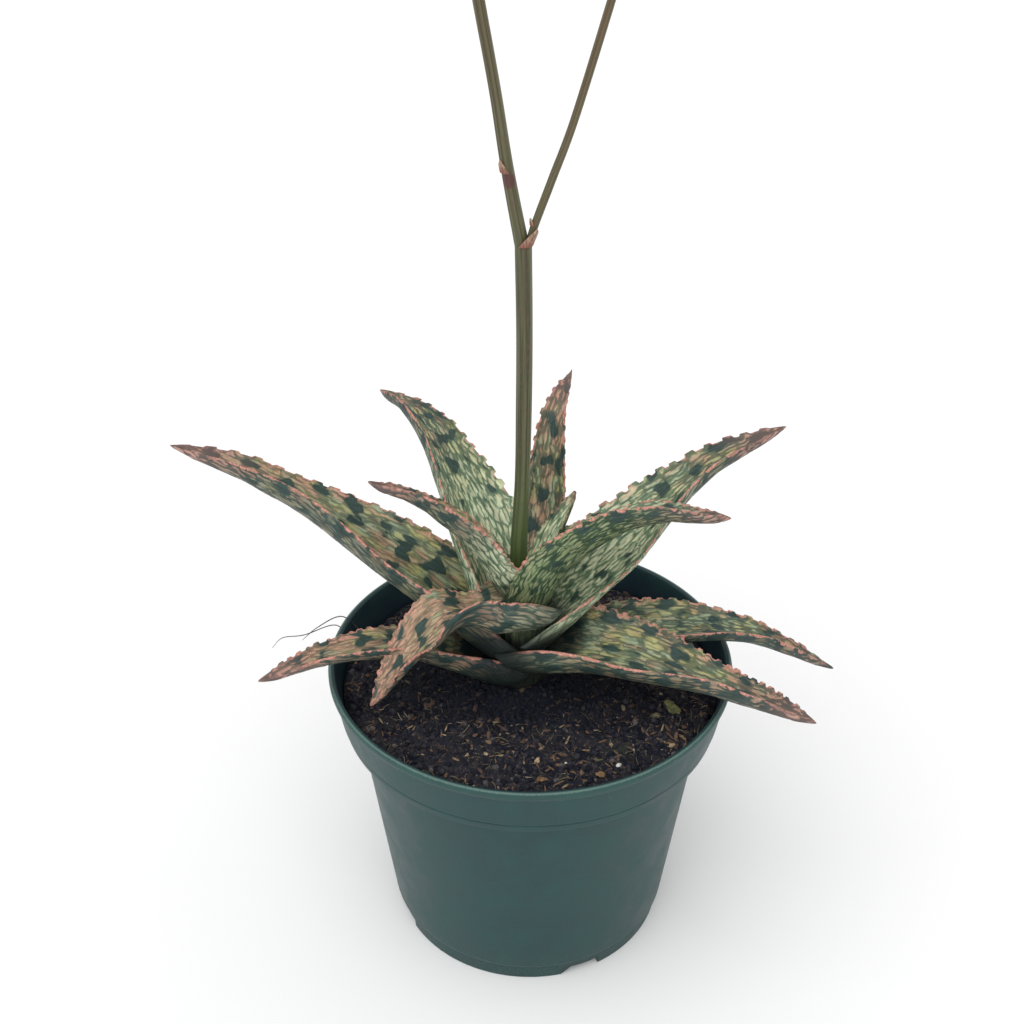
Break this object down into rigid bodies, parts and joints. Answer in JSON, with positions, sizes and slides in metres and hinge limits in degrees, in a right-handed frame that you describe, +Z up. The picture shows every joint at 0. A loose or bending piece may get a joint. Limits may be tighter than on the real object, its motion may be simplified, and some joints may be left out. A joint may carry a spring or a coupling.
{
  "type": "potted snowflake aloe",
  "caption": "Potted succulent: a rosette of channelled, toothed and speckled leaves and a forked flower stalk in a tapered nursery pot.",
  "frame": {"origin": "the middle of the pot's underside, on the pot's axis, where it stands", "axes": "+Z up along the pot's axis; -Y is the front, the side seen in the picture; +X is to the right as seen from the front, the side of the thinner flower shoot"},
  "size_m": [0.2657, 0.162, 0.4741],
  "materials": {
    "pot_plastic": "dull green moulded plastic, faintly mottled and scuffed",
    "potting_soil": "damp dark peat with bark chips, fibres and a grain of perlite",
    "leaf_skin": "waxy succulent skin, pale raised flecks over blue-green, with salmon margins and teeth",
    "stem_skin": "fleshy pale green stem",
    "stalk_skin": "smooth olive stalk with faint lengthwise stripes",
    "bract_scale": "dry papery scale, tan to salmon",
    "flower_petal": "waxy coral flower tubes with green tips"
  },
  "bodies": {
    "root": {"pot": "pot_plastic", "soil": "potting_soil", "stem": "stem_skin", "leaf_left_long": "leaf_skin", "leaf_back_left": "leaf_skin", "leaf_left_slender": "leaf_skin", "leaf_back_upright": "leaf_skin", "leaf_young": "leaf_skin", "leaf_right_long": "leaf_skin", "leaf_right_arched": "leaf_skin", "leaf_front_hooked": "leaf_skin", "leaf_left_low": "leaf_skin", "leaf_front_low": "leaf_skin", "leaf_right_low": "leaf_skin", "flower_stalk": "stalk_skin", "bract_at_fork": "bract_scale", "bract_on_side_shoot": "bract_scale", "bract_on_main_shoot": "bract_scale", "flower_head_main": "flower_petal", "flower_head_side": "flower_petal"}
  },
  "joints": []
}
